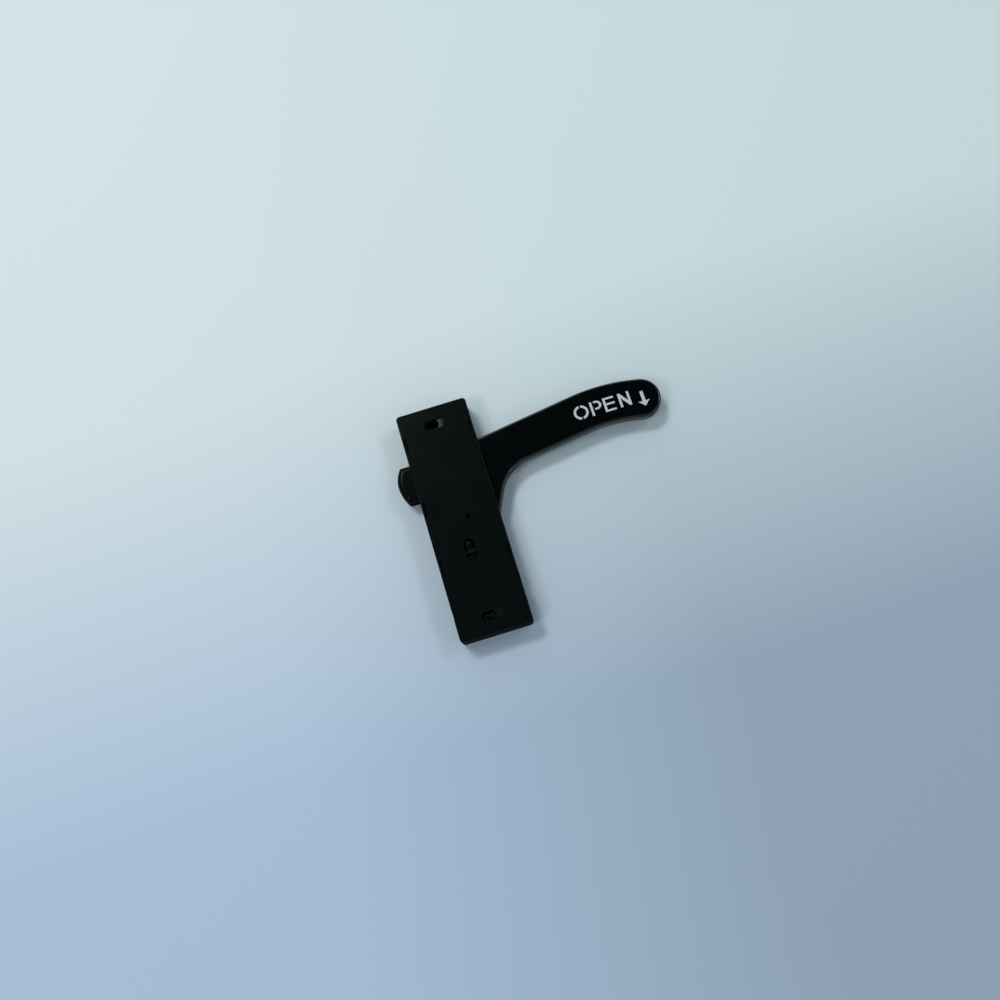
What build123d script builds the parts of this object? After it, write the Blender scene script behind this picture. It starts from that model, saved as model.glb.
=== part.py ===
from build123d import *
import math
import os

# Right-hand screen door latch, lying on its back. Millimetres.
# The origin is the centre of the case's back face. +Z points out of the front cover,
# +X points along the handle, and +Y is up when the latch is on its door.

# Case and cover
case_width = 35.0
case_height = 113.4
case_depth = 12.7
corner_radius = 1.8
wall = 1.8
back_wall = 1.8
inner_corner_radius = 0.8
cover_thickness = 2.2
edge_round = 0.5
parting_chamfer = 0.25
lip_thickness = 1.0
lip_depth = 1.2
lip_room = 2.0

# Screw slots: right through the case and the cover, and run out on a ramp towards the handle's side
slot_length = 7.0
slot_width = 4.4
slot_spacing = 96.0
slot_boss_wall = 1.5
slot_chamfer = 0.5
ramp_length = 3.2
ramp_deep = 1.5
ramp_shallow = 0.5
ramp_sag = 0.18

# Snap hooks on the case and their notches in the cover's long edges
upper_snap_y = 41.0
lower_snap_y = -21.4
bolt_snap_gap = 2.2
notch_length = 7.2
notch_depth = 2.0
hook_thickness = 0.9
hook_overlap = 0.7
ledge_thickness = 1.0
snap_clearance = 0.08
pry_notch_depth = 0.9
left_pry_y = -43.6
left_pry_length = 3.5
right_pry_y = -34.5
right_pry_length = 4.3

# Holes in the cover's face
window_height = 10.4
window_side_gap = 0.7
window_top_gap = 0.3
sight_hole_radius = 1.0
sight_hole_x = 2.3
sight_hole_y = -0.5

# Pivot
pivot_x = -0.9
pivot_y = -13.0
pin_radius = 2.0
pin_seat_depth = 0.9
pin_recess = 1.1
pin_dome = 0.7
pin_running_fit = 0.05
boss_radius = 3.5
hub_radius = 7.5
hub_wall = 3.4
nut_radius = 4.2
nut_sheet = 0.4
nut_dish = 0.45
nut_tooth_slot = 0.7
nut_tooth_length = 1.2
nut_teeth = 4
nut_recess_gap = 0.6

# Handle
handle_thickness = 4.8
handle_top_gap = 0.3
handle_half_width = 9.8
handle_slope = 7.75
handle_bend_x = 68.0
handle_bend_y = 32.55
handle_bend_radius = 83.0
handle_bend_angle = 21.3
handle_edge_round = 1.3
root_corner_x = 25.1
root_angle = 66.0
root_fillet = 19.5
shoulder_radius = 3.0
skin = 1.8
rim = 1.6
rib = 1.1
rib_count = 6
first_rib_x = 30.0
last_rib_x = 93.0

# Drive from the handle to the bolt
handle_travel = 12.5
peg_arm = 36.6
peg_radius = 2.2
peg_boss_radius = 3.6
peg_slot_fit = 0.15
peg_slot_end_room = 0.45

# Bolt
bolt_projection = 8.1
bolt_height = 18.1
bolt_nose_radius = 14.5
bolt_corner_radius = 1.0
bolt_front_round = 2.6
bolt_block_length = 14.4
bolt_clearance = 0.25
tail_thickness = 3.0
tail_shoulder = 2.15
tail_end_wall = 2.2
shoulder_gap = 0.3
guide_thickness = 1.3
guide_end_x = 10.0

# Springs
bolt_spring_wire = 0.5
bolt_spring_radius = 1.25
bolt_spring_length = 16.0
bolt_spring_turns = 4.5
bolt_spring_drop = 6.4
spring_channel_clearance = 0.25
spring_stop_thickness = 1.4
lever_spring_wire = 0.7
lever_spring_turns = 2
lever_spring_pitch = 1.0
lever_spring_clearance = 0.45
lever_spring_leg = 13.0
post_radius = 1.1
spring_touch = 0.05
running_gap = 0.1

# Levels and places worked out from the sizes above
rim_level = case_depth - cover_thickness
handle_top = rim_level - handle_top_gap
handle_bottom = handle_top - handle_thickness
boss_top = handle_bottom - running_gap
bolt_bottom = back_wall + bolt_clearance
tail_top = bolt_bottom + tail_thickness
half_width = case_width / 2
slot_x = -ramp_length / 2
inner_half_width = half_width - wall
slope = math.radians(handle_slope)
travel = math.radians(handle_travel)
bolt_y = pivot_y + peg_arm
peg_x = pivot_x - peg_arm * math.sin(travel / 2)
peg_y = pivot_y + peg_arm * math.cos(travel / 2)
nose_x = -half_width - bolt_projection
block_end_x = nose_x + bolt_block_length
bolt_window_height = bolt_height + 2 * bolt_clearance
bolt_snap_y = bolt_y - bolt_window_height / 2 - bolt_snap_gap - notch_length / 2
window_width = 2 * (pin_radius + window_side_gap)
window_y = pivot_y + pin_radius + window_top_gap - window_height / 2
tail_start_x = -inner_half_width + shoulder_gap
tail_half_height = bolt_height / 2 + tail_shoulder
tail_end_x = peg_x + peg_radius + peg_slot_fit + tail_end_wall
bolt_spring_y = bolt_y - bolt_spring_drop
bolt_spring_outer = bolt_spring_radius + bolt_spring_wire / 2
channel_start_x = tail_start_x + bolt_clearance
spring_stop_x = channel_start_x + bolt_spring_length + spring_touch
channel_half_width = bolt_spring_outer + spring_channel_clearance
lever_spring_radius = boss_radius + lever_spring_clearance + lever_spring_wire / 2
lever_spring_low = back_wall + running_gap + lever_spring_wire / 2
lever_spring_high = lever_spring_low + lever_spring_pitch * lever_spring_turns
hub = Vector(pivot_x, pivot_y)
peg = Vector(peg_x, peg_y)

# Directions along and across the handle's straight, and along and across the line of its root
bend = Vector(handle_bend_x, handle_bend_y)
along = Vector(math.cos(slope), math.sin(slope))
across = Vector(-math.sin(slope), math.cos(slope))
root_along = Vector(math.cos(math.radians(root_angle)), math.sin(math.radians(root_angle)))
root_across = Vector(-root_along.Y, root_along.X)


def plate(outline, low, high):
    """A flat outline raised from one level to another."""
    return extrude(Pos(0, 0, low) * outline, amount=high - low)


def screw_slots(grow, low, high):
    """The pair of screw slots, made larger all round by grow."""
    slot = SlotOverall(slot_length + 2 * grow, slot_width + 2 * grow)
    return Part() + [plate(Pos(slot_x, side * slot_spacing / 2) * slot, low, high) for side in (1, -1)]


def slot_mouth():
    """Wide mouth of one slot in the cover: bevelled all round, with a hollow ramp down to the hole."""
    length = slot_length + ramp_length
    mouth = plate(SlotOverall(length, slot_width), case_depth - ramp_deep, case_depth)
    far_x, near_x = length / 2, length / 2 - ramp_length - slot_width / 2
    deep, shallow = case_depth - ramp_deep, case_depth - ramp_shallow
    sagged = ((near_x + far_x) / 2, (deep + shallow) / 2 - ramp_sag)
    ramp = make_face(
        [
            Line((near_x, case_depth), (near_x, deep)),
            ThreePointArc((near_x, deep), sagged, (far_x, shallow)),
            Line((far_x, shallow), (far_x, case_depth)),
            Line((far_x, case_depth), (near_x, case_depth)),
        ]
    )
    mouth &= extrude(Plane.XZ * ramp, amount=slot_width, both=True)
    bevel = SlotOverall(length + 2 * slot_chamfer, slot_width + 2 * slot_chamfer)
    return mouth + extrude(Pos(0, 0, case_depth) * bevel, amount=-slot_chamfer, taper=45)


def snap_places():
    """Side and height of each snap hook and its notch."""
    pairs = [(side, y) for y in (upper_snap_y, lower_snap_y) for side in (1, -1)]
    return pairs + [(-1, bolt_snap_y)]


def on_side(side, y, solid):
    """Puts a solid made for the right edge at a height on the right or left edge."""
    placed = Pos(0, y, 0) * solid
    return placed if side > 0 else mirror(placed, about=Plane.YZ)


def snap_hook():
    """Hook that rises from the right wall and grips the ledge in the cover's notch."""
    inner = half_width - hook_thickness
    grip = rim_level + ledge_thickness + snap_clearance
    top = case_depth - snap_clearance
    profile = Polygon(
        (inner, rim_level - wall),
        (half_width, rim_level - wall),
        (half_width, top - hook_thickness / 2),
        (half_width - hook_thickness / 3, top),
        (inner - hook_overlap / 3, top),
        (inner - hook_overlap, grip + snap_clearance),
        (inner - hook_overlap, grip),
        (inner, grip),
        align=None,
    )
    length = notch_length - 4 * snap_clearance
    return extrude(Plane.XZ * profile, amount=length / 2, both=True)


def snap_notch():
    """Notch for one hook: through the edge, and to a ledge further in."""
    through = hook_thickness + snap_clearance
    outer = Pos(half_width, 0) * Rectangle(2 * through, notch_length)
    inner = Pos(half_width, 0) * Rectangle(2 * notch_depth, notch_length)
    ledge_top = rim_level + ledge_thickness
    return plate(outer, rim_level, case_depth) + plate(inner, ledge_top, case_depth)


def band_point(x, offset):
    """Point of the handle's straight: x is on its centre line, and offset is towards its upper side."""
    return bend - along * ((handle_bend_x - x) / along.X) + across * offset


def bend_point(angle, offset):
    """Point of the handle's bend, at an angle past its start and offset towards its upper side."""
    turn = slope - math.radians(angle)
    outward = Vector(-math.sin(turn), math.cos(turn))
    return bend - across * handle_bend_radius + outward * (handle_bend_radius + offset)


def handle_band(half, start_points):
    """The handle's band with a round tip, of any half width, closed through the start points."""
    heading = slope - math.radians(handle_bend_angle)
    middle = handle_bend_angle / 2
    far = bend_point(handle_bend_angle, 0) + Vector(math.cos(heading), math.sin(heading)) * half
    upper, lower = bend_point(handle_bend_angle, half), bend_point(handle_bend_angle, -half)
    edges = [
        Line(start_points[-1], bend + across * half),
        ThreePointArc(bend + across * half, bend_point(middle, half), upper),
        ThreePointArc(upper, far, lower),
        ThreePointArc(lower, bend_point(middle, -half), bend - across * half),
        Line(bend - across * half, start_points[0]),
    ]
    edges += [Line(a, b) for a, b in zip(start_points, start_points[1:])]
    return make_face(edges)


root_corner = band_point(root_corner_x, -handle_half_width)
root_foot = root_corner - root_along * ((root_corner.X - half_width) / root_along.X)
foot_centre = root_foot + root_across * shoulder_radius
shoulder_centre = band_point(inner_half_width, handle_half_width - shoulder_radius)


def handle_outline(inset):
    """Handle, root, hub and peg boss seen from the front, drawn in by inset all round."""
    corner = root_corner + (across + root_across) * (inset / (1 + across.dot(root_across)))
    foot = foot_centre - root_across * (shoulder_radius - inset)
    shoulder = shoulder_centre + across * (shoulder_radius - inset)
    band = handle_band(handle_half_width - inset, [corner, foot, shoulder])
    discs = [(hub, hub_radius), (peg, peg_boss_radius)]
    discs += [(foot_centre, shoulder_radius), (shoulder_centre, shoulder_radius)]
    web = make_hull([(Pos(centre) * Circle(radius - inset)).edge() for centre, radius in discs])
    outline = band + web
    return fillet(outline.vertices().sort_by_distance(corner)[0], root_fillet + inset)


def handle_swept_low():
    """Lowest place where the handle's root passes through the case's wall during its travel."""
    to_foot = foot_centre - hub
    bearing = math.atan2(to_foot.Y, to_foot.X)
    edge = bearing + math.asin((hub_radius - shoulder_radius) / to_foot.length) - travel
    touch = hub + Vector(math.sin(edge), -math.cos(edge)) * hub_radius
    return touch.Y + (inner_half_width - touch.X) * math.tan(edge)


handle_window_top = band_point(half_width, handle_half_width).Y + handle_top_gap + bolt_clearance
handle_window_low = handle_swept_low() - handle_top_gap


def rib_between(start, end):
    """Straight rib seen from the front."""
    run = end - start
    heading = math.degrees(math.atan2(run.Y, run.X))
    return Pos((start + end) / 2) * Rot(0, 0, heading) * Rectangle(run.length, rib)


def cross_ribs():
    """Ribs square across the handle, evenly spaced from its root to its tip."""
    ribs = Sketch()
    bend_centre = bend - across * handle_bend_radius
    for number in range(rib_count):
        x = first_rib_x + (last_rib_x - first_rib_x) * number / (rib_count - 1)
        if x < handle_bend_x:
            place, turn = band_point(x, 0), 0
        else:
            turn = handle_slope + math.degrees(math.asin((x - bend_centre.X) / handle_bend_radius))
            place = bend_point(turn, 0)
        blade = Rectangle(rib, 2 * handle_half_width + 2 * rim)
        ribs += Pos(place) * Rot(0, 0, handle_slope - turn) * blade
    return ribs


def bolt_window(room):
    """Opening in the left wall for the bolt, longer at both ends by some room."""
    return Pos(-half_width, bolt_y) * Rectangle(4 * wall, bolt_window_height + 2 * room)


def handle_window(room):
    """Opening in the right wall for the handle's swing, longer at both ends by some room."""
    middle = (handle_window_top + handle_window_low) / 2
    length = handle_window_top - handle_window_low + 2 * room
    return Pos(half_width, middle) * Rectangle(4 * wall, length)


def make_rear_case():
    """Tray with its windows, screw bosses, pivot boss, bolt guides, spring stops and snap hooks."""
    case = plate(RectangleRounded(case_width, case_height, corner_radius), 0, rim_level)
    case = fillet(case.faces().sort_by(Axis.Z)[0].edges(), edge_round)
    case = chamfer(case.faces().sort_by(Axis.Z)[-1].edges(), parting_chamfer)
    cavity = RectangleRounded(case_width - 2 * wall, case_height - 2 * wall, inner_corner_radius)
    case -= plate(cavity, back_wall, rim_level)

    case -= plate(bolt_window(0), back_wall, rim_level)
    case -= plate(handle_window(0), handle_bottom - handle_top_gap, rim_level)

    case += screw_slots(slot_boss_wall, 0, rim_level)
    case -= screw_slots(0, 0, rim_level)

    case += plate(Pos(hub) * Circle(boss_radius), back_wall, boss_top)
    case -= plate(Pos(hub) * Circle(pin_radius), pin_seat_depth, boss_top)

    guide_length = guide_end_x + inner_half_width
    guide_offset = tail_half_height + bolt_clearance + guide_thickness / 2
    guide = Rectangle(guide_length, guide_thickness)
    for side in (1, -1):
        place = Pos(guide_end_x - guide_length / 2, bolt_y + side * guide_offset)
        case += plate(place * guide, back_wall, tail_top)
    stop = Pos(spring_stop_x + spring_stop_thickness / 2, bolt_spring_y)
    stop *= Rectangle(spring_stop_thickness, 2 * bolt_spring_outer)
    case += plate(stop, back_wall, tail_top)

    post_drop = lever_spring_radius + lever_spring_wire / 2 + spring_touch + post_radius
    post = Pos(pivot_x + lever_spring_leg - post_radius, pivot_y - post_drop) * Circle(post_radius)
    case += plate(post, back_wall, lever_spring_low + lever_spring_wire)

    for side, y in snap_places():
        case += on_side(side, y, snap_hook())
    return case


def make_front_cover():
    """Flat cover with slots, notches, window, small hole and a lip inside the case's walls."""
    cover = plate(RectangleRounded(case_width, case_height, corner_radius), rim_level, case_depth)
    cover = fillet(cover.faces().sort_by(Axis.Z)[-1].edges(), edge_round)
    cover = chamfer(cover.faces().sort_by(Axis.Z)[0].edges(), parting_chamfer)

    lip_width = case_width - 2 * wall - 2 * bolt_clearance
    lip_height = case_height - 2 * wall - 2 * bolt_clearance
    lip = RectangleRounded(lip_width, lip_height, inner_corner_radius)
    lip -= Rectangle(lip_width - 2 * lip_thickness, lip_height - 2 * lip_thickness)
    lip -= handle_window(lip_room)
    lip -= bolt_window(lip_room)
    cover += plate(lip, rim_level - lip_depth, rim_level)

    cover -= screw_slots(0, rim_level, case_depth)
    for side in (1, -1):
        cover -= Pos(0, side * slot_spacing / 2, 0) * slot_mouth()

    pivot_window = Pos(pivot_x, window_y) * SlotOverall(window_height, window_width, rotation=90)
    cover -= plate(pivot_window, rim_level, case_depth)
    cover -= plate(Pos(sight_hole_x, sight_hole_y) * Circle(sight_hole_radius), rim_level, case_depth)

    for side, y in snap_places():
        cover -= on_side(side, y, snap_notch())
    for side, y, length in ((-1, left_pry_y, left_pry_length), (1, right_pry_y, right_pry_length)):
        pry = plate(Pos(half_width, 0) * Rectangle(2 * pry_notch_depth, length), rim_level, case_depth)
        cover -= on_side(side, y, pry)
    return cover


def make_handle_lever():
    """Handle moulded with a smooth face and a ribbed, hollow back, with the peg that drives the bolt."""
    lever = plate(handle_outline(0), handle_bottom, handle_top)
    lever = fillet(lever.faces().sort_by(Axis.Z)[-1].edges(), handle_edge_round)

    spine_start = band_point(inner_half_width, 0)
    core = handle_outline(rim)
    core -= Pos(hub) * Circle(pin_radius + hub_wall)
    core -= Pos(peg) * Circle(peg_boss_radius)
    core -= cross_ribs()
    core -= handle_band(rib / 2, [spine_start - across * (rib / 2), spine_start + across * (rib / 2)])
    for start, end in ((hub, peg), (hub, spine_start), (peg, spine_start)):
        core -= rib_between(start, end)
    lever -= plate(core, handle_bottom, handle_top - skin)

    peg_low = bolt_bottom + bolt_clearance
    lever += plate(Pos(peg) * Circle(peg_radius), peg_low, handle_top - skin)
    lug_x = pivot_x - lever_spring_radius - lever_spring_wire / 2 - spring_touch - post_radius
    lug_y = pivot_y + lever_spring_leg - post_radius
    lug_low = lever_spring_high - lever_spring_wire
    lever += plate(Pos(lug_x, lug_y) * Circle(post_radius), lug_low, handle_top - skin)

    lever -= plate(Pos(hub) * Circle(pin_radius + pin_running_fit), handle_bottom, handle_top)
    recess_floor = nut_low() - running_gap
    lever -= plate(Pos(hub) * Circle(nut_radius + nut_recess_gap), recess_floor, handle_top)
    return lever


def nut_low():
    """Level of the push nut's flat rim, sunk in the handle's hub."""
    return handle_top - nut_sheet - nut_dish


def make_latch_bolt():
    """Round-nosed bolt with a domed front, flat tail, stop shoulders, peg slot and spring channel."""
    centre = Vector(nose_x + bolt_nose_radius, bolt_y)
    half = bolt_height / 2
    cheek_x = centre.X - math.sqrt(bolt_nose_radius**2 - half**2)
    nose = make_face(
        [
            Line((block_end_x, bolt_y - half), (block_end_x, bolt_y + half)),
            Line((block_end_x, bolt_y + half), (cheek_x, bolt_y + half)),
            ThreePointArc((cheek_x, bolt_y + half), (nose_x, bolt_y), (cheek_x, bolt_y - half)),
            Line((cheek_x, bolt_y - half), (block_end_x, bolt_y - half)),
        ]
    )
    nose = fillet(nose.vertices().group_by(Axis.X)[0], bolt_corner_radius)
    disc = plate(Pos(centre) * Circle(bolt_nose_radius), bolt_bottom, handle_top)
    disc = fillet(disc.faces().sort_by(Axis.Z)[-1].edges(), bolt_front_round)
    bar = Pos(block_end_x, bolt_y) * Rectangle(2 * bolt_block_length, bolt_height)
    bar = plate(bar, bolt_bottom, handle_top)
    bar = fillet(bar.faces().sort_by(Axis.Z)[-1].edges().filter_by(Axis.X), bolt_front_round)
    block = plate(nose, bolt_bottom, handle_top) & disc & bar

    tail_length = tail_end_x - tail_start_x
    tail = Pos(tail_start_x + tail_length / 2, bolt_y) * Rectangle(tail_length, 2 * tail_half_height)
    tail = fillet(tail.vertices(), bolt_corner_radius)
    bolt = block + plate(tail, bolt_bottom, tail_top)

    slot_width_x = 2 * (peg_radius + peg_slot_fit)
    slot_middle = (peg_y + bolt_y) / 2
    slot_height_y = 2 * (peg_radius + peg_slot_end_room) + (bolt_y - peg_y)
    slot = Pos(peg_x, slot_middle) * RectangleRounded(slot_width_x, slot_height_y, bolt_corner_radius)
    bolt -= plate(slot, bolt_bottom, tail_top)

    channel_length = tail_end_x - channel_start_x
    channel = Pos(channel_start_x + channel_length / 2, bolt_spring_y)
    bolt -= plate(channel * Rectangle(channel_length, 2 * channel_half_width), bolt_bottom, tail_top)
    return bolt


def make_pivot_pin():
    """Steel pin with a domed end that shows in the cover's window."""
    top = case_depth - pin_recess
    shoulder = top - pin_dome
    dome_radius = (pin_radius**2 + pin_dome**2) / (2 * pin_dome)
    middle_x = pin_radius / 2
    dome_middle = (middle_x, top - dome_radius + math.sqrt(dome_radius**2 - middle_x**2))
    profile = make_face(
        [
            Line((0, top), (0, pin_seat_depth)),
            Line((0, pin_seat_depth), (pin_radius - edge_round, pin_seat_depth)),
            Line((pin_radius - edge_round, pin_seat_depth), (pin_radius, pin_seat_depth + edge_round)),
            Line((pin_radius, pin_seat_depth + edge_round), (pin_radius, shoulder)),
            ThreePointArc((pin_radius, shoulder), dome_middle, (0, top)),
        ]
    )
    return Pos(pivot_x, pivot_y, 0) * revolve(Plane.XZ * profile, axis=Axis.Z)


def make_push_nut():
    """Dished spring-steel nut whose teeth grip the pin above the handle's hub."""
    low = nut_low()
    dish_start = pin_radius + nut_tooth_length
    profile = Polygon(
        (nut_radius, low),
        (nut_radius, low + nut_sheet),
        (dish_start, low + nut_sheet),
        (pin_radius, low + nut_sheet + nut_dish),
        (pin_radius, low + nut_dish),
        (dish_start, low),
        align=None,
    )
    nut = Pos(pivot_x, pivot_y, 0) * revolve(Plane.XZ * profile, axis=Axis.Z)
    gap = Pos(dish_start / 2, 0) * Rectangle(dish_start + nut_tooth_slot, nut_tooth_slot)
    for number in range(nut_teeth):
        turn = Pos(hub) * Rot(0, 0, 45 + 360 * number / nut_teeth)
        nut -= plate(turn * gap, low, low + nut_sheet + nut_dish)
    return nut


def make_bolt_spring():
    """Compression spring that lies in the bolt's channel and pushes on the case's stop."""
    height = bolt_spring_length - bolt_spring_wire
    path = Helix(height / bolt_spring_turns, height, bolt_spring_radius)
    section = Plane(origin=path @ 0, z_dir=path % 0) * Circle(bolt_spring_wire / 2)
    coil = sweep(section, path=path, is_frenet=True)
    level = bolt_bottom + bolt_spring_outer - running_gap
    return Pos(channel_start_x + bolt_spring_wire / 2, bolt_spring_y, level) * Rot(0, 90, 0) * coil


def make_lever_spring():
    """Torsion spring round the pivot boss: one leg on the case's post, the other on the handle's lug."""
    radius, rise = lever_spring_radius, lever_spring_pitch / 2
    swing = math.hypot(radius, rise / 2)
    edges = [Line((radius, lever_spring_leg, 0), (radius, 0, 0))]
    for number in range(2 * lever_spring_turns):
        side = 1 if number % 2 == 0 else -1
        low = number * rise
        middle = (0, -side * swing, low + rise / 2)
        edges.append(ThreePointArc((side * radius, 0, low), middle, (-side * radius, 0, low + rise)))
    top = lever_spring_high - lever_spring_low
    edges.append(CenterArc((0, 0, top), radius, 0, -90))
    edges.append(Line((0, -radius, top), (-lever_spring_leg, -radius, top)))
    path = Wire(edges)
    section = Plane(origin=path @ 0, z_dir=path % 0) * Circle(lever_spring_wire / 2)
    return Pos(pivot_x, pivot_y, lever_spring_low) * Rot(0, 0, -90) * sweep(section, path=path)


pieces = {
    "rear_case": make_rear_case(),
    "front_cover": make_front_cover(),
    "handle_lever": make_handle_lever(),
    "latch_bolt": make_latch_bolt(),
    "pivot_pin": make_pivot_pin(),
    "push_nut": make_push_nut(),
    "bolt_spring": make_bolt_spring(),
    "lever_spring": make_lever_spring(),
}

os.makedirs("parts", exist_ok=True)
for name, shape in pieces.items():
    export_step(shape, f"parts/{name}.step")
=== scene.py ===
import math

import bmesh
import bpy
from mathutils import Matrix, Vector


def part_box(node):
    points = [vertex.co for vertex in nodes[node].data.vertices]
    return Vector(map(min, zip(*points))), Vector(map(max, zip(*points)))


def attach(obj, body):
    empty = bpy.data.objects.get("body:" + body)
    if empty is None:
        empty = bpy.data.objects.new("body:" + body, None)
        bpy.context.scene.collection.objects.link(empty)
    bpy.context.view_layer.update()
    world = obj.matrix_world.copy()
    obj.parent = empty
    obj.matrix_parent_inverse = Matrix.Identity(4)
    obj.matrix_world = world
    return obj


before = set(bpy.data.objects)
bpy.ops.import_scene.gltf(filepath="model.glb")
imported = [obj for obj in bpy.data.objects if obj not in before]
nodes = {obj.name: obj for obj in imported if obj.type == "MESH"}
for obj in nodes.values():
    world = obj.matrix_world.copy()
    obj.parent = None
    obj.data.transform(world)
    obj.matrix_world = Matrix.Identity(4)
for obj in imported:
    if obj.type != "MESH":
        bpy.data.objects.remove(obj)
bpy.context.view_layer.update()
mm = 0.001

print("latch: frame loaded,", len(nodes), "CAD pieces")

firstNodeX = -3000        # where a material's nodes stand in the node editor
nodeSpacing = 180


def linearColour(hexText):
    # sRGB hex to the linear values that the shader takes, by the sRGB curve's own numbers
    channels = [int(hexText[i:i + 2], 16) / 255 for i in (1, 3, 5)]
    linear = [c / 12.92 if c <= 0.04045 else ((c + 0.055) / 1.055) ** 2.4 for c in channels]
    return (*linear, 1.0)


def perSize(sizeMm):
    # texture scale that makes one noise cell or one wave this wide
    return 1.0 / (sizeMm * mm)


def addNode(tree, kind, inputs=None, **settings):
    # one node: settings are its own properties, inputs are values or sockets to link
    node = tree.nodes.new(kind)
    node.location = (len(tree.nodes) * nodeSpacing + firstNodeX, 0)
    for name, value in settings.items():
        setattr(node, name, value)
    for name, value in (inputs or {}).items():
        if isinstance(value, bpy.types.NodeSocket):
            tree.links.new(value, node.inputs[name])
        else:
            node.inputs[name].default_value = value
    return node


def newMaterial(name):
    # empty node tree with its output and the object's own coordinates
    material = bpy.data.materials.new(name)
    material.use_nodes = True
    tree = material.node_tree
    tree.nodes.clear()
    output = addNode(tree, "ShaderNodeOutputMaterial")
    place = addNode(tree, "ShaderNodeTexCoord").outputs["Object"]
    return material, tree, output, place


def putOn(piece, material):
    # one material all over a piece
    piece.data.materials.clear()
    piece.data.materials.append(material)


# Camera: where the photographer stood, looking down and a little along the latch
cameraSetup = {
    "focalMm": 34.2,
    "sensorMm": 36.0,
    "nearestMm": 10.0,
    "distanceMm": 460.0,
    "lookAtMm": (19.3, 5.4, 0.0),
    "headingDeg": 4.27,      # to the right of straight up the latch
    "elevationDeg": 76.06,
    "rollDeg": -12.96,
}


def placeCamera(setup):
    data = bpy.data.cameras.new("photoCamera")
    data.lens = setup["focalMm"]
    data.sensor_width = setup["sensorMm"]
    data.clip_start = setup["nearestMm"] * mm
    camera = bpy.data.objects.new("photoCamera", data)
    bpy.context.scene.collection.objects.link(camera)
    heading, elevation = math.radians(setup["headingDeg"]), math.radians(setup["elevationDeg"])
    level = math.cos(elevation)
    forward = Vector((math.sin(heading) * level, math.cos(heading) * level, -math.sin(elevation)))
    stand = Vector(setup["lookAtMm"]) * mm - forward * setup["distanceMm"] * mm
    turn = forward.to_track_quat("-Z", "Y").to_matrix().to_4x4()
    roll = Matrix.Rotation(math.radians(setup["rollDeg"]), 4, "Z")
    camera.matrix_world = Matrix.Translation(stand) @ turn @ roll
    bpy.context.scene.camera = camera


placeCamera(cameraSetup)
print("latch: camera placed")


# Table: a smooth pale blue-grey sheet with painted shade: its colour darkens towards the viewer and
# the right, standing in for the room's light falling off
table = {
    "halfSideMm": 900.0,
    "farLeftHex": "#c9d7db",
    "farRightHex": "#c5d7d9",
    "nearLeftHex": "#a4bad3",
    "nearRightHex": "#90a3b5",
    "fadeMm": 100.0,         # the four colours are reached this far from the latch's middle
    "grainMm": 1.2,
    "grainDepthMm": 0.02,
    "grainStrength": 0.15,
    "roughness": 0.62,
    "shine": 0.25,
}


def blend(tree, share, first, second):
    # from the first colour to the second as the share goes from 0 to 1
    # the node's colours are its sockets 6 and 7, and come out at 2
    return addNode(tree, "ShaderNodeMix", {
        0: share, 6: first, 7: second,
    }, data_type="RGBA").outputs[2]


def paleTableWithPaintedShade(setup):
    # matt board with painted shade: darker towards the viewer and the right, with only a very soft
    # sheen
    material, tree, output, place = newMaterial("mattBoardPaintedShade")
    apart = addNode(tree, "ShaderNodeSeparateXYZ", {0: place})
    fades = {}
    for axis in ("X", "Y"):
        fades[axis] = addNode(tree, "ShaderNodeMapRange", {
            "Value": apart.outputs[axis],
            "From Min": -setup["fadeMm"] * mm,
            "From Max": setup["fadeMm"] * mm,
        }).outputs["Result"]
    # the near and right colours are deeper: painted shade where the light falls off
    rows = []
    for row in ("near", "far"):
        left, right = linearColour(setup[row + "LeftHex"]), linearColour(setup[row + "RightHex"])
        rows.append(blend(tree, fades["X"], left, right))
    grain = addNode(tree, "ShaderNodeTexNoise", {
        "Vector": place, "Scale": perSize(setup["grainMm"]),
    })
    bump = addNode(tree, "ShaderNodeBump", {
        "Strength": setup["grainStrength"],
        "Distance": setup["grainDepthMm"] * mm,
        "Height": grain.outputs["Fac"],
    })
    shader = addNode(tree, "ShaderNodeBsdfPrincipled", {
        "Base Color": blend(tree, fades["Y"], *rows),
        "Roughness": setup["roughness"],
        "Specular IOR Level": setup["shine"],
        "Normal": bump.outputs["Normal"],
    })
    tree.links.new(shader.outputs[0], output.inputs["Surface"])
    return material


def layTable(setup):
    half = setup["halfSideMm"] * mm
    mesh = bpy.data.meshes.new("table")
    corners = [(-half, -half, 0), (half, -half, 0), (half, half, 0), (-half, half, 0)]
    mesh.from_pydata(corners, [], [(0, 1, 2, 3)])
    board = bpy.data.objects.new("table", mesh)
    bpy.context.scene.collection.objects.link(board)
    putOn(board, paleTableWithPaintedShade(setup))


layTable(table)


# Lights: a large soft window up and to the left, weaker ones on the other sides, and the room
lamps = {
    # bearings are to the left of straight up the latch
    "keyLight": {
        "bearingDeg": 29.0, "elevationDeg": 56.5, "wideMm": 660.0, "tallMm": 400.0,
        "watts": 22.3, "hex": "#fffdf8",
    },
    "leftLight": {
        "bearingDeg": 108.0, "elevationDeg": 54.0, "wideMm": 560.0, "tallMm": 420.0,
        "watts": 9.0, "hex": "#f6faff",
    },
    "rightLight": {
        "bearingDeg": -74.0, "elevationDeg": 48.0, "wideMm": 500.0, "tallMm": 300.0,
        "watts": 5.6, "hex": "#f6faff",
    },
    # a little light into the shadows below the case and the handle
    "nearLight": {
        "bearingDeg": -130.0, "elevationDeg": 38.0, "wideMm": 260.0, "tallMm": 200.0,
        "watts": 1.5, "hex": "#f6faff",
    },
    # low and far: draws the upper rims of the handle
    "rimLight": {
        "bearingDeg": 4.0, "elevationDeg": 33.0, "wideMm": 520.0, "tallMm": 520.0,
        "watts": 1.8, "hex": "#f6faff",
    },
}
lampDistanceMm = 2200.0

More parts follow.
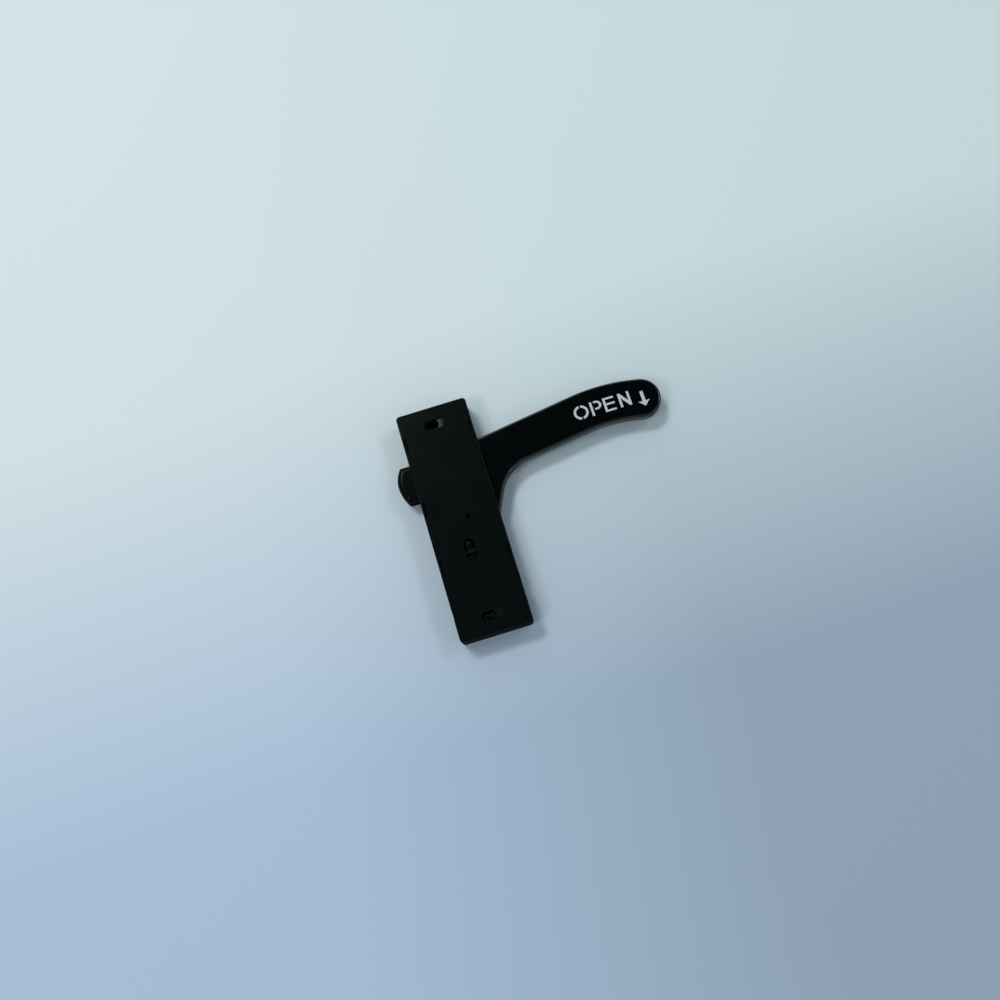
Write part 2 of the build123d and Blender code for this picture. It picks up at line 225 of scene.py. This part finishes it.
room = {
    "hex": "#f4f8fb",
    "strength": 0.52,
    "brightSideDeg": -25.0,      # bearing of the palest wall
    "palest": 1.3,
    "dimmest": 0.7,
    "darkTowards": (0.075, 0.26, 0.963),     # a dark ceiling keeps level black plastic black
    "darkWithinDeg": 20.0,
    "darkEndsDeg": 34.0,
    "darkStrength": 0.012,
}


def towards(bearingDeg, elevationDeg):
    bearing, elevation = math.radians(bearingDeg), math.radians(elevationDeg)
    level = math.cos(elevation)
    return Vector((-math.sin(bearing) * level, math.cos(bearing) * level, math.sin(elevation)))


def hangLamp(name, setup):
    # a soft lamp that looks at the latch
    data = bpy.data.lights.new(name, "AREA")
    data.shape = "RECTANGLE"
    data.size = setup["wideMm"] * mm
    data.size_y = setup["tallMm"] * mm
    data.energy = setup["watts"]
    data.color = linearColour(setup["hex"])[:3]
    lamp = bpy.data.objects.new(name, data)
    bpy.context.scene.collection.objects.link(lamp)
    place = towards(setup["bearingDeg"], setup["elevationDeg"])
    lamp.location = place * lampDistanceMm * mm
    lamp.rotation_mode = "QUATERNION"
    lamp.rotation_quaternion = (-place).to_track_quat("-Z", "Y")


def lightRoom(setup):
    # soft light from all round, palest on one side, with a dark place overhead
    world = bpy.data.worlds.new("room")
    world.use_nodes = True
    bpy.context.scene.world = world
    tree = world.node_tree
    tree.nodes.clear()
    output = addNode(tree, "ShaderNodeOutputWorld")
    bearing = addNode(tree, "ShaderNodeTexCoord").outputs["Generated"]
    facing = addNode(tree, "ShaderNodeVectorMath", {
        0: bearing, 1: towards(setup["brightSideDeg"], 0.0),
    }, operation="DOT_PRODUCT")
    side = addNode(tree, "ShaderNodeMapRange", {
        "Value": facing.outputs["Value"],
        "From Min": -1.0,
        "From Max": 1.0,
        "To Min": setup["dimmest"] * setup["strength"],
        "To Max": setup["palest"] * setup["strength"],
    })
    overhead = addNode(tree, "ShaderNodeVectorMath", {
        0: bearing, 1: Vector(setup["darkTowards"]).normalized(),
    }, operation="DOT_PRODUCT")
    shade = addNode(tree, "ShaderNodeMapRange", {
        "Value": overhead.outputs["Value"],
        "From Min": math.cos(math.radians(setup["darkEndsDeg"])),
        "From Max": math.cos(math.radians(setup["darkWithinDeg"])),
        "To Min": 1.0,
        "To Max": setup["darkStrength"],
    }, interpolation_type="SMOOTHSTEP")
    strength = addNode(tree, "ShaderNodeMath", {
        0: side.outputs["Result"], 1: shade.outputs["Result"],
    }, operation="MULTIPLY")
    background = addNode(tree, "ShaderNodeBackground", {
        "Color": linearColour(setup["hex"]), "Strength": strength.outputs["Value"],
    })
    tree.links.new(background.outputs[0], output.inputs["Surface"])


for lampName, lampSetup in lamps.items():
    hangLamp(lampName, lampSetup)
lightRoom(room)
bpy.context.scene.view_settings.view_transform = "Standard"
print("latch: table and lights ready")


# Case and cover: black ABS from a spark-eroded mould, which leaves a fine even matt grain
mattAbs = {
    "hex": "#050c0b",
    "greyedHex": "#070e0d",
    "ior": 1.53,
    "shine": 0.08,
    "roughness": 0.2,
    "roughnessSpread": 0.04,
    "edgeOn": (0.3, 0.75),       # the grain dulls a face at a glancing angle: 1 is edge-on
    "edgeOnRoughness": 1.0,
    "cloudMm": 14.0,             # slow changes of shine and tone over the moulding
    "cloudDetail": 3.0,
    "cloudFineness": 0.55,
    "cloudRange": (0.3, 0.7),
    "grainMm": 0.45,             # real grain is about 0.15 mm: drawn coarser so that it shows
    "grainDepthMm": 0.005,
    "grainStrength": 0.5,
}


def edgeOnRoughness(tree, setup, roughness):
    # the skin's own roughness, and a dull look where a face turns edge-on to the eye
    edgeOn = addNode(tree, "ShaderNodeLayerWeight", {"Blend": 0.5})
    dull = addNode(tree, "ShaderNodeMapRange", {
        "Value": edgeOn.outputs["Facing"],
        "From Min": setup["edgeOn"][0],
        "From Max": setup["edgeOn"][1],
        "To Min": 0.0,
        "To Max": setup["edgeOnRoughness"],
    })
    return addNode(tree, "ShaderNodeMath", {
        0: roughness, 1: dull.outputs["Result"],
    }, operation="MAXIMUM").outputs["Value"]


def sparkErodedAbs(setup):
    # matt black ABS: dark, with a broad soft shine that breaks up into fine grain
    material, tree, output, place = newMaterial("sparkErodedAbs")
    grain = addNode(tree, "ShaderNodeTexVoronoi", {
        "Vector": place, "Scale": perSize(setup["grainMm"]),
    }, feature="SMOOTH_F1")
    cloud = addNode(tree, "ShaderNodeTexNoise", {
        "Vector": place,
        "Scale": perSize(setup["cloudMm"]),
        "Detail": setup["cloudDetail"],
        "Roughness": setup["cloudFineness"],
    })
    shine = addNode(tree, "ShaderNodeMapRange", {
        "Value": cloud.outputs["Fac"],
        "From Min": setup["cloudRange"][0],
        "From Max": setup["cloudRange"][1],
        "To Min": setup["roughness"] - setup["roughnessSpread"] / 2,
        "To Max": setup["roughness"] + setup["roughnessSpread"] / 2,
    })
    bump = addNode(tree, "ShaderNodeBump", {
        "Strength": setup["grainStrength"],
        "Distance": setup["grainDepthMm"] * mm,
        "Height": grain.outputs["Distance"],
    })
    fresh, greyed = linearColour(setup["hex"]), linearColour(setup["greyedHex"])
    shader = addNode(tree, "ShaderNodeBsdfPrincipled", {
        "Base Color": blend(tree, cloud.outputs["Fac"], fresh, greyed),
        "Roughness": edgeOnRoughness(tree, setup, shine.outputs["Result"]),
        "IOR": setup["ior"],
        "Specular IOR Level": setup["shine"],
        "Normal": bump.outputs["Normal"],
    })
    tree.links.new(shader.outputs[0], output.inputs["Surface"])
    return material


mattBlack = sparkErodedAbs(mattAbs)
putOn(nodes["rear_case"], mattBlack)
putOn(nodes["front_cover"], mattBlack)


# Handle: black ABS from a polished mould
glossAbs = {
    "hex": "#020606",
    "ior": 1.53,
    "shine": 0.5,
    "roughness": 0.11,
    "edgeOn": (0.7, 0.8),
    "edgeOnRoughness": 0.9,
    "smudgeRoughness": 0.14,
    "smudgeMm": 9.0,
    "smudgeDetail": 6.0,
    "smudgeFineness": 0.7,
    "smudgeRange": (0.48, 0.72),     # the noise below this is clean skin, above it full smudge
    "rippleMm": 3.5,                 # slow waves that a polished mould leaves in the skin
    "rippleDepthMm": 0.003,
    "rippleDetail": 1.0,
    "rippleStrength": 0.4,
}

# Bolt: the same plastic from a plainer mould, so its shine is softer
satinAbs = {
    **glossAbs,
    "shine": 0.06,
    "roughness": 0.22,
    "edgeOn": (0.45, 0.68),
    "edgeOnRoughness": 1.0,
    "smudgeRoughness": 0.24,
    "smudgeMm": 4.0,
    "rippleMm": 2.5,
}


def polishedAbs(name, setup):
    # gloss or satin black ABS: nearly black face, clean highlights, faint smudges from handling
    material, tree, output, place = newMaterial(name)
    smudge = addNode(tree, "ShaderNodeTexNoise", {
        "Vector": place,
        "Scale": perSize(setup["smudgeMm"]),
        "Detail": setup["smudgeDetail"],
        "Roughness": setup["smudgeFineness"],
    })
    shine = addNode(tree, "ShaderNodeMapRange", {
        "Value": smudge.outputs["Fac"],
        "From Min": setup["smudgeRange"][0],
        "From Max": setup["smudgeRange"][1],
        "To Min": setup["roughness"],
        "To Max": setup["smudgeRoughness"],
    })
    ripple = addNode(tree, "ShaderNodeTexNoise", {
        "Vector": place,
        "Scale": perSize(setup["rippleMm"]),
        "Detail": setup["rippleDetail"],
    })
    bump = addNode(tree, "ShaderNodeBump", {
        "Strength": setup["rippleStrength"],
        "Distance": setup["rippleDepthMm"] * mm,
        "Height": ripple.outputs["Fac"],
    })
    shader = addNode(tree, "ShaderNodeBsdfPrincipled", {
        "Base Color": linearColour(setup["hex"]),
        "Roughness": edgeOnRoughness(tree, setup, shine.outputs["Result"]),
        "IOR": setup["ior"],
        "Specular IOR Level": setup["shine"],
        "Normal": bump.outputs["Normal"],
    })
    tree.links.new(shader.outputs[0], output.inputs["Surface"])
    return material


putOn(nodes["handle_lever"], polishedAbs("polishedAbs", glossAbs))
putOn(nodes["latch_bolt"], polishedAbs("satinAbs", satinAbs))


# Pin and push nut: blackened steel. Springs: bare drawn wire
pinSteel = {
    "hex": "#111314",
    "roughness": 0.4,
    "roughnessShare": 0.3,       # how far the shine strays either way, as a share of the roughness
    "blotchMm": 2.0,
    "blotchDetail": 4.0,
}
nutSteel = {**pinSteel, "hex": "#17191b", "roughness": 0.42}
springWire = {**pinSteel, "hex": "#9b9c99", "roughness": 0.32}


def workedSteel(name, setup):
    # bright or blackened steel: metallic, with small changes of shine from rolling or drawing
    material, tree, output, place = newMaterial(name)
    blotch = addNode(tree, "ShaderNodeTexNoise", {
        "Vector": place, "Scale": perSize(setup["blotchMm"]), "Detail": setup["blotchDetail"],
    })
    shine = addNode(tree, "ShaderNodeMapRange", {
        "Value": blotch.outputs["Fac"],
        "To Min": setup["roughness"] * (1 - setup["roughnessShare"]),
        "To Max": setup["roughness"] * (1 + setup["roughnessShare"]),
    })
    shader = addNode(tree, "ShaderNodeBsdfPrincipled", {
        "Base Color": linearColour(setup["hex"]),
        "Metallic": 1.0,
        "Roughness": shine.outputs["Result"],
    })
    tree.links.new(shader.outputs[0], output.inputs["Surface"])
    return material


putOn(nodes["pivot_pin"], workedSteel("blackOxideSteel", pinSteel))
putOn(nodes["push_nut"], workedSteel("blackenedSpringSteel", nutSteel))
drawnWire = workedSteel("drawnSpringWire", springWire)
putOn(nodes["bolt_spring"], drawnWire)
putOn(nodes["lever_spring"], drawnWire)
print("latch: materials on the CAD pieces")


# The word and the arrow, pad-printed in white on the handle's face
lettering = {
    "hex": "#b4bbc1",
    "thinHex": "#a5acb2",            # where the ink is thinner and the black shows through
    "thinPatchMm": 0.8,
    "thinPatchDetail": 3.0,
    "roughness": 0.46,
    "inkMm": 0.03,
    "liftMm": 0.002,                 # keeps the ink's back off the handle's skin
    "baselineMm": 28.95,
    "capHeightMm": 7.1,
    "strokeMm": 1.15,
    "thinStrokeMm": 0.95,            # bars of the E, and the P's bowl at its top and bottom
    "stencilGapMm": 0.95,
    "curveSteps": 14,
    "edgesMm": {"O": (65.4, 72.6), "P": (73.9, 79.5), "E": (80.5, 86.0), "N": (88.1, 93.7)},
    "bowlHalfHeight": 0.31,          # of the P, as a share of its height
    "bowlWidth": 1.1,                # half width of the bowl's curve, as a share of its half height
    "middleBar": 0.53,               # how far up the E its middle bar stands
    "slantDrop": 2.1,                # upright measure of the N's slanting stroke, in strokes
}
arrow = {
    "middleMm": 99.6,
    "topMm": 34.0,
    "tipMm": 26.3,
    "shaftMm": 1.55,
    "headMm": 5.6,
    "headLength": 0.92,              # as a share of the head's half width
    "barbMm": 0.25,                  # how far the head's corners sweep back
}


def whitePadPrint(setup):
    # pad-print ink: flat white with a soft, slightly uneven surface
    material, tree, output, place = newMaterial("whitePadPrint")
    patch = addNode(tree, "ShaderNodeTexNoise", {
        "Vector": place,
        "Scale": perSize(setup["thinPatchMm"]),
        "Detail": setup["thinPatchDetail"],
    })
    full, thin = linearColour(setup["hex"]), linearColour(setup["thinHex"])
    shader = addNode(tree, "ShaderNodeBsdfPrincipled", {
        "Base Color": blend(tree, patch.outputs["Fac"], full, thin),
        "Roughness": setup["roughness"],
    })
    tree.links.new(shader.outputs[0], output.inputs["Surface"])
    return material


def arcPoints(setup, centre, radius, fromDeg, toDeg):
    steps = setup["curveSteps"]
    points = []
    for i in range(steps + 1):
        turn = math.radians(fromDeg + (toDeg - fromDeg) * i / steps)
        points.append((
            centre[0] + radius[0] * math.cos(turn),
            centre[1] + radius[1] * math.sin(turn),
        ))
    return points


def bar(left, low, right, high):
    return [(left, low), (right, low), (right, high), (left, high)]


def letterO(setup, left, right, low, high):
    # two half rings with a gap above and below
    stroke = setup["strokeMm"]
    centre = ((left + right) / 2, (low + high) / 2)
    wide, tall = (right - left) / 2, (high - low) / 2
    clear = math.degrees(math.asin(setup["stencilGapMm"] / 2 / wide))
    rings = []
    for fromDeg, toDeg in ((90 + clear, 270 - clear), (-90 + clear, 90 - clear)):
        outer = arcPoints(setup, centre, (wide, tall), fromDeg, toDeg)
        inner = arcPoints(setup, centre, (wide - stroke, tall - stroke), toDeg, fromDeg)
        rings.append(outer + inner)
    return rings


def letterP(setup, left, right, low, high):
    # a stem, and a bowl that stands clear of it
    stroke, thin = setup["strokeMm"], setup["thinStrokeMm"]
    start = left + stroke + setup["stencilGapMm"]
    tall = setup["capHeightMm"] * setup["bowlHalfHeight"]
    wide = tall * setup["bowlWidth"]
    centre = (right - wide, high - tall)
    foot = high - 2 * tall
    outer = arcPoints(setup, centre, (wide, tall), -90, 90)
    inner = arcPoints(setup, centre, (wide - stroke, tall - thin), 90, -90)
    bowl = [(start, foot)] + outer + [(start, high), (start, high - thin)] + inner
    return [bar(left, low, left + stroke, high), bowl + [(start, foot + thin)]]


def letterE(setup, left, right, low, high):
    # a stem with three bars
    stroke, thin = setup["strokeMm"], setup["thinStrokeMm"]
    rings = [bar(left, low, left + stroke, high)]
    for level in (low, low + (high - low - thin) * setup["middleBar"], high - thin):
        rings.append(bar(left + stroke, level, right, level + thin))
    return rings


def letterN(setup, left, right, low, high):
    # two stems joined by a slanting stroke
    stroke = setup["strokeMm"]
    drop = stroke * setup["slantDrop"]
    inLeft, inRight = left + stroke, right - stroke
    slant = [(inLeft, high - drop), (inRight, low), (inRight, low + drop), (inLeft, high)]
    return [bar(left, low, inLeft, high), bar(inRight, low, right, high), slant]


def downArrow(setup):
    # a straight shaft and a broad head
    middle, top, tip = setup["middleMm"], setup["topMm"], setup["tipMm"]
    shaft, reach = setup["shaftMm"] / 2, setup["headMm"] / 2
    neck = tip + reach * setup["headLength"]
    barb = neck + setup["barbMm"]
    return [[
        (middle, tip), (middle + reach, barb), (middle + shaft, neck), (middle + shaft, top),
        (middle - shaft, top), (middle - shaft, neck), (middle - reach, barb),
    ]]


def stencilShapes(setup):
    # outlines in mm, each a closed ring that runs anticlockwise
    low = setup["baselineMm"]
    high = low + setup["capHeightMm"]
    shapes = {}
    for letter, draw in (("O", letterO), ("P", letterP), ("E", letterE), ("N", letterN)):
        shapes["letter_" + letter] = draw(setup, *setup["edgesMm"][letter], low, high)
    shapes["down_arrow"] = downArrow(arrow)
    return shapes


def inkSlab(work, ring, low, high):
    # a thin slab: the ring's underside, its face, and a wall for each of its sides
    under = [work.verts.new((x * mm, y * mm, low)) for x, y in ring]
    upper = [work.verts.new((x * mm, y * mm, high)) for x, y in ring]
    work.faces.new(under[::-1])
    work.faces.new(upper)
    for i in range(len(ring)):
        work.faces.new((under[i - 1], under[i], upper[i], upper[i - 1]))


def printShapes(setup, material):
    # the ink lies on the handle's face and moves with the handle
    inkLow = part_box("handle_lever")[1].z + setup["liftMm"] * mm
    inkHigh = inkLow + setup["inkMm"] * mm
    for name, rings in stencilShapes(setup).items():
        work = bmesh.new()
        for ring in rings:
            inkSlab(work, ring, inkLow, inkHigh)
        mesh = bpy.data.meshes.new(name)
        work.to_mesh(mesh)
        work.free()
        piece = bpy.data.objects.new(name, mesh)
        bpy.context.scene.collection.objects.link(piece)
        putOn(piece, material)
        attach(piece, "handle")


printShapes(lettering, whitePadPrint(lettering))
print("latch: word and arrow printed")
